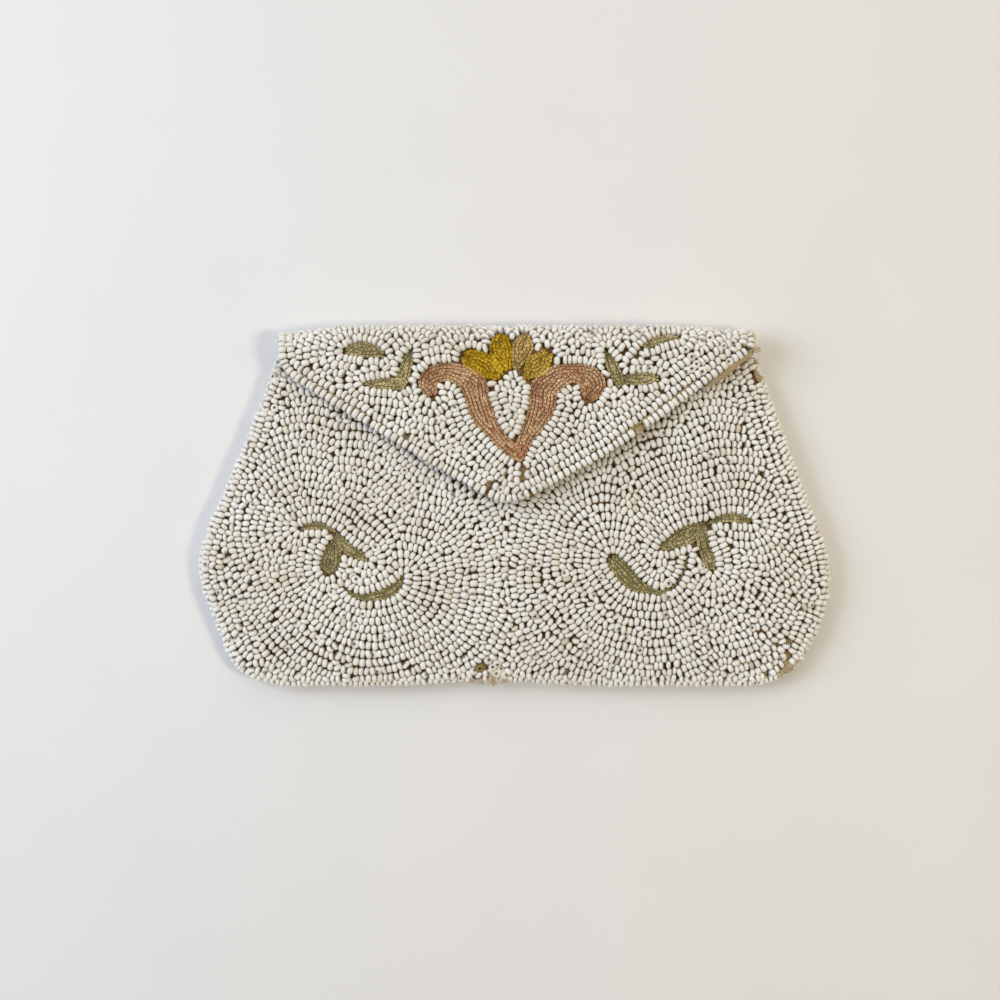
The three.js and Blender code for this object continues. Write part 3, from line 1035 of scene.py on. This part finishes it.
    def loosen(self, shapes, neat):
        """A few beads are lost, the others turn askew, less so by the shapes and in a neat border."""
        draw = np.random.default_rng(6)
        beads = np.array(self.beads)
        edge = self.at_beads(self.edge, beads)
        turned = draw.random(len(beads)) < TURNED_SHARE
        untidy = read_grid(draw.random(PATCHES), self.low, PATCH_SIZE, *beads[:, :2].T)
        askew = np.where(turned, TURNED_ASKEW, ASKEW * (0.4 + 1.2 * untidy))
        askew *= np.clip(self.at_beads(shapes, beads) / TIDY_REACH, TIDIEST, 1)
        beads[:, 2] += draw.normal(0, np.where(edge < neat, NEAT_ASKEW, askew))
        share = LOST_SHARE * (1 + np.clip(beads[:, 0] / 40, -0.6, 1.2))
        self.replace(beads[(draw.random(len(beads)) > share) | (edge < neat)])

    def settle(self, limits, rounds):
        """Beads push each other apart until they hardly overlap, and stay off the borders."""
        beads = np.array(self.beads)
        pairs = [(k, n) for k, bead in enumerate(self.beads) for n in self.nearby(*bead[:2]) if n > k]
        first, second = np.array(pairs).T
        slopes = [np.gradient(field, self.cell) for field, _ in limits]
        for _ in range(rounds):
            apart = beads[second, :2] - beads[first, :2]
            gap = np.linalg.norm(apart, axis=1) + 1e-9
            apart /= gap[:, None]
            reach = np.zeros(len(gap))
            for end in (first, second):
                c, s = np.cos(beads[end, 2]), np.sin(beads[end, 2])
                reach += np.hypot(beads[end, 3] * (apart[:, 0] * c + apart[:, 1] * s),
                                  beads[end, 4] * (apart[:, 0] * s - apart[:, 1] * c))
            push = apart * (np.clip(TOUCHING * reach - gap, 0, None) * PUSH)[:, None]
            move = np.zeros((len(beads), 2))
            np.add.at(move, first, -push)
            np.add.at(move, second, push)
            beads[:, :2] += np.clip(move, -LONGEST_PUSH, LONGEST_PUSH)
            for (field, least), (up, over) in zip(limits, slopes):
                value, gx, gy = (self.at_beads(grid, beads) for grid in (field, over, up))
                short = np.clip(least - value, 0, LONGEST_RETURN)
                beads[:, 0] += short * gx
                beads[:, 1] += short * gy
        self.replace(beads)

    def pack(self, field, room, shapes, neat, limits):
        """Fills the gaps between rows, loosens the beads, settles them, and fills and settles again."""
        self.fill(field, room, FILL_SLACK[0])
        self.loosen(shapes, neat)
        self.settle(limits, SETTLE_ROUNDS[0])
        self.fill(field, room, FILL_SLACK[1])
        self.settle(limits, SETTLE_ROUNDS[1])


def stroke_distance(layout, cloth):
    """Distance from the stitched shapes of one cloth, over a layout's grid."""
    nearest = np.full(layout.x.shape, 1e3, np.float32)
    for on, _, path in paths:
        if on == cloth:
            for x, y, half in path:
                np.minimum(nearest, np.hypot(layout.x - x, layout.y - y) - half, out=nearest)
    return nearest


def rings_round(shapes, uneven):
    """Row lines that echo the stitched shapes, less and less evenly away from them."""
    return shapes + uneven * np.clip(shapes / 8 - 0.4, 0, 1)


def wander(layout, seed):
    """A slow unevenness of hand-laid rows, in millimetres."""
    coarse = np.random.default_rng(seed).normal(0, WANDERING, PATCHES)
    return read_grid(coarse, layout.low, PATCH_SIZE, layout.x, layout.y)


BORDER = BEAD_WIDTH / 2
BORDER_REACH = 1.6  # the border row's beads lie nearer to the edge than this
WANDERING = 0.95
CLOSE_TO_SHAPES = 0.72
FIRST_RING = CLOSE_TO_SHAPES + 0.15

# On the front, so many rows follow the left and the right side, from the bottom corners up. The border row
# ends below the fold.
SIDE_ROWS = (3.4, 4.4)
SIDE_ROWS_ABOVE = -37
BORDER_ROW_BELOW = 20
front_layout = RowLayout(front_outline, 3)
x, y, edge = front_layout.x, front_layout.y, front_layout.edge
front_shapes = stroke_distance(front_layout, "front")
front_room = front_layout.inside & (edge > 0.8 * BORDER) & (front_shapes > CLOSE_TO_SHAPES)
from_sides = np.minimum(*(distance_to_line(rim, x, y) for rim in (left_rim, right_rim)))
uneven = wander(front_layout, 8)
front_rings = rings_round(front_shapes, uneven)
along_sides = (from_sides < np.where(x < 0, *SIDE_ROWS) * ROW_PITCH) & (y > SIDE_ROWS_ABOVE)
along_border = (edge < BORDER_REACH) & (y < BORDER_ROW_BELOW)
front_layout.lay_rows(edge, front_room & along_border, BORDER, BORDER_REACH)
front_layout.lay_rows(from_sides + 0.3 * uneven, front_room & along_sides, BORDER)
front_layout.lay_rows(front_rings, front_room, FIRST_RING)
front_limits = [(edge, 0.85 * BORDER), (front_shapes, CLOSE_TO_SHAPES)]
front_layout.pack(front_rings, front_room, front_shapes, 0, front_limits)

# On the flap, so many rows follow its left and its right edge. The second one has parted from the border
# row along two stretches, from x to x. On the back, rows run straight across.
EDGE_ROWS = (2.4, 4.2)
PARTED_ROWS = [(-52.0, -34.0), (22.5, 43.0)]
PARTING_INSET = 2.12
PARTING = 0.4
PARTING_FREE = 0.8
FAR_FROM_PARTING = 9
wrap_layout = RowLayout(wrap_outline, 4)
x, y, edge = wrap_layout.x, wrap_layout.y, wrap_layout.edge
wrap_shapes = stroke_distance(wrap_layout, "flap")
on_flap = y < FOLD_CREST
parted = np.zeros(x.shape)
for start, end in PARTED_ROWS:
    parted += np.clip((x - start + 2) / 4, 0, 1) * np.clip((end + 2 - x) / 4, 0, 1)
parted *= on_flap & (y < FOLD_Y)
from_parting = np.abs(edge - PARTING_INSET) + FAR_FROM_PARTING * (1 - parted)
wrap_room = wrap_layout.inside & (edge > BORDER - 0.1) & (wrap_shapes > CLOSE_TO_SHAPES)
wrap_rings = rings_round(wrap_shapes, wander(wrap_layout, 9))
along_edge = edge < np.where(x < 0, *EDGE_ROWS) * ROW_PITCH
wrap_layout.lay_rows(edge, wrap_room & (edge < BORDER_REACH), BORDER, BORDER_REACH)
wrap_layout.lay_rows(wrap_rings, wrap_room & on_flap, FIRST_RING, 2)
wrap_layout.lay_rows(edge - PARTING * parted, wrap_room & along_edge, BORDER + ROW_PITCH)
wrap_layout.lay_rows(wrap_rings, wrap_room & on_flap, FIRST_RING)
wrap_layout.lay_rows(y, wrap_room & ~on_flap, FOLD_CREST + BORDER)
wrap_lines = np.where(on_flap, wrap_rings, y)
wrap_limits = [(edge, 0.95 * BORDER), (wrap_shapes, CLOSE_TO_SHAPES), (from_parting, 0.97 * BORDER)]
wrap_room &= from_parting > PARTING_FREE
wrap_layout.pack(wrap_lines, wrap_room, wrap_shapes, BORDER_REACH, wrap_limits)


def bead_shape(sides, profile):
    """A drilled bead lying along x, of unit length and width: its profile is spun round the thread."""
    shape = bmesh.new()
    points = [shape.verts.new((x / 2, radius / 2, 0)) for x, radius in profile]
    for start, end in zip(points, points[1:] + points[:1]):
        shape.edges.new((start, end))
    bmesh.ops.spin(shape, geom=shape.verts[:] + shape.edges[:], cent=(0, 0, 0), axis=(1, 0, 0),
                   angle=math.tau, steps=sides, use_merge=True)
    shape.verts.index_update()
    outline = np.array(profile)
    turn = lambda p: np.arctan2(p[:, 2], p[:, 1]) / math.tau + 0.5

    def along(p):
        radius = np.hypot(p[:, 1], p[:, 2]) * 2
        gaps = np.hypot(p[:, :1] * 2 - outline[:, 0], radius[:, None] - outline[:, 1])
        return gaps.argmin(1) / len(outline)

    # Dust and painted shade: dark in the hole, and on the ends and the lower side, where beads meet.
    def darkening(p):
        hole = np.clip(HOLE_DUST_AND_SHADE + 1.35 - 10 * np.hypot(p[:, 1], p[:, 2]), 0, HOLE_DUST_AND_SHADE)
        end = END_DUST_AND_SHADE * (np.abs(p[:, 0]) - 0.3) / 0.17
        side = SIDE_DUST_AND_SHADE * (1 - p[:, 2] / 0.34)
        return np.stack([hole, np.clip(np.maximum(end, side), 0, max(END_DUST_AND_SHADE, SIDE_DUST_AND_SHADE))])

    return shape_arrays(shape, darkening, along, turn)


def bead_material():
    """Opaque off-white glass, some beads creamier or cooler, with old dust and painted shade in holes and
    crevices.
    """
    material, tree, shader = new_material("seed_bead_glass")
    tone = add_node(tree, "Attribute", attribute_name="tone")
    recess = add_node(tree, "Attribute", attribute_name="recess")
    tints = add_node(tree, "ValToRGB", {"Fac": tone.outputs["Fac"]})
    stops = [(0.0, (0.29, 0.185, 0.055, 1)), (0.04, (0.66, 0.58, 0.43, 1)),
             (0.2, (0.82, 0.785, 0.69, 1)), (0.5, (0.91, 0.906, 0.852, 1)),
             (1.0, (0.945, 0.944, 0.91, 1))]
    ramp = tints.color_ramp
    while len(ramp.elements) < len(stops):
        ramp.elements.new(0.5)
    for element, (position, colour) in zip(ramp.elements, stops):
        element.position, element.color = position, colour
    aged = place_group(tree, AGEING, Grime=(0.62, 0.52, 0.38, 1), Patch_size=70.0, Amount=0.25)
    tree.links.new(tints.outputs["Color"], aged.inputs["Colour"])
    # Dust and painted shade in the holes and crevices, towards a dark brown.
    recess_darkening = add_node(tree, "MapRange", {"Value": recess.outputs["Fac"], "From Min": 0.12,
                                       "From Max": 0.5, "To Max": 0.68})
    dusted_and_shaded = mix_colours(tree, recess_darkening.outputs["Result"], aged.outputs["Colour"], (0.165, 0.108, 0.042, 1))
    rough = add_node(tree, "MapRange", {"Value": tone.outputs["Fac"], "To Min": 0.5, "To Max": 0.36})
    tree.links.new(dusted_and_shaded, shader.inputs["Base Color"])
    tree.links.new(rough.outputs["Result"], shader.inputs["Roughness"])
    shader.inputs["IOR"].default_value = 1.5
    shader.inputs["Diffuse Roughness"].default_value = 1.0
    return material


BEAD_GLASS = bead_material()
ROUND_BEAD = (8, [(-0.98, 0.24), (-0.9, 0.62), (-0.43, 1.0), (0.43, 1.0), (0.9, 0.62), (0.98, 0.24)])
PLAIN_BEAD = (6, [(-0.95, 0.3), (-0.6, 0.95), (0.6, 0.95), (0.95, 0.3)])
FRONT_SPLIT = -0.6  # where the front's and the back's beads are split into two pieces
BACK_SPLIT = FOLD_END + 36
STRONG_LEAN = (0.85, 0.25)  # middle and spread of a bead's lean, in radians
SLIGHT_LEAN = (0, 0.1)
TONE_SHAPE = (4.0, 1.8)  # most beads are bright and few are dark
DARKEST_TONE = 0.06


def worn_beads(beads, cloth, seed):
    """The beads of a cloth that aren't lost, each with its lean, its tone and whether it stands on end."""
    chance = np.random.default_rng(seed)
    n = len(beads)
    x, y = beads[:, 0], beads[:, 1]
    lost = np.zeros(n, bool)
    leaning = chance.random(n) < LEANING_SHARE
    on_end = chance.random(n) < UPRIGHT_SHARE
    soiled = np.zeros(n, bool)
    for on, spot_x, spot_y, reach, lost_share, lean_share, pucker in WORN_SPOTS:
        if on == cloth:
            near = np.hypot(x - spot_x, y - spot_y) < reach
            lost |= near & (chance.random(n) < lost_share)
            loose = near & (chance.random(n) < lean_share)
            leaning |= loose
            soiled |= loose & (pucker > 0)
            on_end |= loose & (chance.random(n) < LOOSE_ON_END)
    lean = np.where(leaning, chance.normal(*STRONG_LEAN, n), chance.normal(*SLIGHT_LEAN, n))
    lean *= chance.choice([-1, 1], n)
    tone = np.clip(chance.beta(*TONE_SHAPE, n), DARKEST_TONE, 1)
    tone = np.where(soiled, SOILED_TONE + 0.35 * tone, tone)
    if cloth == "front":
        gap = np.hypot(x - STAINED_BEAD[0], y - STAINED_BEAD[1])
        stained = gap.argmin()
        lost |= gap < STAINED_SIZE[1] + 0.3
        lost[stained], on_end[stained], tone[stained] = False, True, 0.0
        beads[stained, 3:] = STAINED_SIZE
    return np.column_stack([beads, lean, tone, on_end])[~lost]


def string_beads(name, beads, surface, shape, seed):
    """A group of beads as one piece."""
    chance = np.random.default_rng(seed)
    x, y, heading, half, wide, lean, tone, on_end = beads.T
    n, stands = len(beads), on_end[:, None] > 0
    tall = np.where(on_end, wide, np.hypot(half * np.sin(lean), wide * np.cos(lean)))
    depth = BEAD_LAYER - tall + chance.normal(0, 0.05, n)
    depth = np.where(y > FOLD_CREST, np.maximum(depth, tall), depth)
    centres, along, across, out = axes_on(surface, x, y, depth, heading)
    cos, sin = np.cos(lean)[:, None], np.sin(lean)[:, None]
    along, out = along * cos + out * sin, out * cos - along * sin
    upright = np.column_stack([chance.normal(0, 0.25, (n, 2)), np.ones(n)])
    along = np.where(stands, unit(upright), along)
    across = np.where(stands, unit(np.cross(along, (1, 0, 0))), across)
    out = np.where(stands, np.cross(along, across), out)
    sizes = 2 * np.stack([half, wide, wide], 1)
    points, faces, uv, (hole, crevice) = bead_shape(*shape)
    # Beads that stand or lean on end keep less of the dust and painted shade on their ends and sides.
    darkening = np.maximum(hole, crevice * np.where(stands, UPRIGHT_END_SHARE, 1 - (1 - UPRIGHT_END_SHARE) * sin ** 2))
    bead = points, faces, uv, darkening
    copies(name, bead, centres, along, across, out, sizes, tone, BEAD_GLASS)


front_beads = worn_beads(np.array(front_layout.beads), "front", 31)
wrap_beads = worn_beads(np.array(wrap_layout.beads), "flap", 32)
under_flap = inside_outline(flap_outline, *front_beads[:, :2].T)
under_flap &= distance_to_line(flap_edge_line, *front_beads[:, :2].T) > HIDDEN_UNDER_FLAP
seen = front_beads[~under_flap]
on_left = seen[:, 0] < FRONT_SPLIT
string_beads("front_beads_left", seen[on_left], front_surface, ROUND_BEAD, 21)
string_beads("front_beads_right", seen[~on_left], front_surface, ROUND_BEAD, 22)
string_beads("front_beads_under_flap", front_beads[under_flap], front_surface, PLAIN_BEAD, 23)
string_beads("flap_beads", wrap_beads[wrap_beads[:, 1] < FOLD_CREST], wrap_surface, ROUND_BEAD, 24)
behind = wrap_beads[wrap_beads[:, 1] >= FOLD_CREST]
upper = behind[:, 1] < BACK_SPLIT
string_beads("back_beads_upper", behind[upper], wrap_surface, PLAIN_BEAD, 25)
string_beads("back_beads_lower", behind[~upper], wrap_surface, PLAIN_BEAD, 26)


# Frayed edges, all of the ground cloth's tan cotton: the flap's cut edge has rolled out past its border
# beads near the right end of the fold, the cloth shows as a thin ridge where rows have parted, and broken
# threads stand out in tufts at the worn spots.
# Rolled edges: the cloth, the depth below the bead tops, and a stroke. Tufts: the cloth, x and y, the way
# they point, in degrees, and how many threads they have of what length.
ROLLED_EDGES = [
    ("flap", 1.2, [
        (56.2, 36.6, 0.7), (54.7, 35.3, 1.0), (53.1, 34.3, 0.8), (51.2, 32.7, 1.05), (49.5, 31.2, 0.7),
        (47.9, 30.2, 0.75), (46.2, 28.8, 0.4), (44.4, 27.5, 0.2)]),
    ("front", 0.7, [(57.8, 33.0, 0.2), (58.2, 32.0, 0.5), (58.7, 30.8, 0.6), (59.3, 29.6, 0.2)]),
    ("front", 0.8, [(63.8, -40.5, 0.3), (65.1, -39.9, 0.85), (66.4, -38.9, 0.9), (67.3, -37.6, 0.3)]),
]
ROLL_FLATNESS = 0.5
ROLL_SIDES = 10
RIDGE = 0.28
RIDGE_DEPTH = 0.9
RIDGE_SIDES = 8
TUFTS = [
    ("flap", 55.6, 40.6, 20, 10, 1.3),
    ("flap", 56.4, 36.8, 15, 18, 1.4),
    ("front", 57.6, 34.6, 0, 9, 1.2),
    ("front", 59.2, 31.2, -20, 8, 1.0),
    ("front", -10.2, -41.6, -95, 8, 1.3),
    ("front", -8.0, -41.8, -100, 8, 1.3),
    ("front", -5.6, -40.9, -88, 16, 2.1),
    ("front", -2.6, -41.4, -70, 12, 1.4),
    ("front", 63.6, -40.0, -60, 14, 1.3),
    ("front", 65.8, -38.8, -50, 16, 1.3),
    ("front", 67.6, -36.8, -45, 12, 1.1),
    ("front", 61.3, -38.0, 30, 5, 1.1),
    ("flap", 28.7, 17.8, -60, 9, 1.3),
    ("flap", 0.2, 6.4, 200, 5, 1.0),
]
TUFT_DEPTH = 0.7
TUFT_SPREAD = 0.28
THREAD_RADIUS = 0.12
THREAD_SIDES = 4
THREAD_STEPS = 6


def tube_along(shape, points, radii, sides, flatness=1.0):
    """Adds a closed tube along a line of points, in millimetres, to a bmesh."""
    ring = bmesh.ops.create_circle(shape, cap_ends=True, segments=sides, radius=1)["verts"]
    edges = list({edge for vertex in ring for edge in vertex.link_edges})
    turns = [vertex.co.copy() for vertex in ring]
    tangents = np.gradient(points, axis=0)
    for k, (point, tangent, radius) in enumerate(zip(points, tangents, radii)):
        if k:
            grown = bmesh.ops.extrude_edge_only(shape, edges=edges)["geom"]
            ring = [part for part in grown if isinstance(part, bmesh.types.BMVert)]
            edges = [part for part in grown if isinstance(part, bmesh.types.BMEdge)]
        along = Vector(tangent).normalized()
        side = Vector((0, 0, 1)).cross(along).normalized()
        up = along.cross(side)
        for vertex, turn in zip(ring, turns):
            vertex.co = (Vector(point) + (turn.x * side + turn.y * flatness * up) * float(radius)) * MM
    bmesh.ops.edgeloop_fill(shape, edges=edges)


def frayed_material():
    """Loose cotton fibres, bleached where they stand out."""
    material, tree, shader = new_material("frayed_cotton")
    aged = place_group(tree, AGEING, Colour=(0.66, 0.53, 0.35, 1), Grime=(0.42, 0.30, 0.15, 1),
                       Patch_size=400.0, Amount=0.6)
    tree.links.new(aged.outputs["Colour"], shader.inputs["Base Color"])
    shader.inputs["Roughness"].default_value = 0.9
    shader.inputs["Sheen Weight"].default_value = 0.15
    return material


def cotton_piece(name, shape, material):
    """Finishes a piece of bare tan cotton."""
    bmesh.ops.recalc_face_normals(shape, faces=shape.faces)
    # Bare cotton takes the ground cloth's lighter colour, which on the hem is partly painted light against
    # the flap's shadow.
    bare_and_lit = shape.verts.layers.float.new("bare_and_lit")
    for vertex in shape.verts:
        vertex[bare_and_lit] = 1
    piece = add_object(name, mesh_of(name, shape), material)
    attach(piece, "root")


shape = bmesh.new()
for cloth, depth, stroke in ROLLED_EDGES:
    x, y, half = stroke_path(stroke).T
    points = SURFACES[cloth](x, y, np.full(len(x), depth))
    tube_along(shape, points, half, ROLL_SIDES, ROLL_FLATNESS)
inner_line = flap_edge_line + PARTING_INSET * sideways(flap_edge_line)
for start, end in PARTED_ROWS:
    line = inner_line[(inner_line[:, 0] > start) & (inner_line[:, 0] < end)]
    depth = np.full(len(line), RIDGE_DEPTH + RIDGE)
    width = RIDGE * (1 + 0.25 * np.sin(np.arange(len(line)) * 1.7))
    tube_along(shape, wrap_surface(*line.T, depth), width, RIDGE_SIDES)
cotton_piece("rolled_hem", shape, GROUND_CLOTH)

fray_chance = np.random.default_rng(41)
shape = bmesh.new()
for cloth, tuft_x, tuft_y, way, count, longest in TUFTS:
    for _ in range(count):
        x, y = fray_chance.normal((tuft_x, tuft_y), TUFT_SPREAD)
        length = longest * fray_chance.uniform(0.6, 1.2)
        turn = math.radians(way) + fray_chance.normal(0, 0.25)
        headings = turn + fray_chance.normal(0, 0.12, THREAD_STEPS).cumsum()
        steps = np.stack([np.cos(headings), np.sin(headings)], 1) * length / THREAD_STEPS
        root = SURFACES[cloth](*(np.array([v]) for v in (x, y, TUFT_DEPTH)))
        bow = fray_chance.uniform(0.1, 0.6) * np.sin(np.linspace(0, 2.6, THREAD_STEPS))
        points = root + np.column_stack([steps.cumsum(0), bow])
        tube_along(shape, points, np.full(THREAD_STEPS, THREAD_RADIUS), THREAD_SIDES)
cotton_piece("loose_threads", shape, frayed_material())


# Table, light and camera: a plain pale table, soft light from a window on the left and from above, a small
# warm lamp on the right, and a camera straight above the purse.
TABLE_SIZE = 2.4
TABLE_BELOW = 0.0001  # the table's face lies this far under the purse
CAMERA_AT = (-0.0035, 0.0014, 0.355)
CAMERA_LENS = 52.5


def table_material():
    """Matt off-white board with the faintest mottling."""
    material, tree, shader = new_material("pale_table")
    aged = place_group(tree, AGEING, Colour=(0.83, 0.83, 0.825, 1), Grime=(0.80, 0.80, 0.79, 1),
                       Patch_size=30.0, Amount=0.5)
    tree.links.new(aged.outputs["Colour"], shader.inputs["Base Color"])
    shader.inputs["Roughness"].default_value = 0.7
    return material


shape = bmesh.new()
bmesh.ops.create_grid(shape, x_segments=1, y_segments=1, size=TABLE_SIZE / 2)
table = add_object("table", mesh_of("table", shape), table_material())
table.location.z = -TABLE_BELOW
table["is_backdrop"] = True


def soft_light(name, place, size, power, colour):
    """A square soft light that faces the purse."""
    lamp = bpy.data.lights.new(name, "AREA")
    lamp.size, lamp.energy, lamp.color = size, power, colour
    light = bpy.data.objects.new(name, lamp)
    light.location = place
    light.rotation_euler = (-Vector(place)).to_track_quat("-Z", "Y").to_euler()
    bpy.context.scene.collection.objects.link(light)


soft_light("window", (-0.55, 0.10, 0.42), 0.45, 3.65, (0.69, 0.77, 0.935))
soft_light("ceiling", (0.0, 0.62, 0.62), 1.0, 2.65, (1.0, 0.94, 0.84))
soft_light("lamp", (0.46, -0.09, 0.62), 0.16, 1.98, (1.0, 0.87, 0.65))
world = bpy.data.worlds.new("soft_room")
world.use_nodes = True
world.node_tree.nodes["Background"].inputs["Color"].default_value = (1.0, 0.94, 0.84, 1)
world.node_tree.nodes["Background"].inputs["Strength"].default_value = 0.225
bpy.context.scene.world = world
bpy.context.scene.view_settings.view_transform = "Standard"

camera = bpy.data.objects.new("camera", bpy.data.cameras.new("camera"))
camera.data.lens = CAMERA_LENS
camera.location = CAMERA_AT
bpy.context.scene.collection.objects.link(camera)
bpy.context.scene.camera = camera

boxes = {"cad": cad_box, "visual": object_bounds()}
{name: [list(corner) for corner in box] for name, box in boxes.items()}
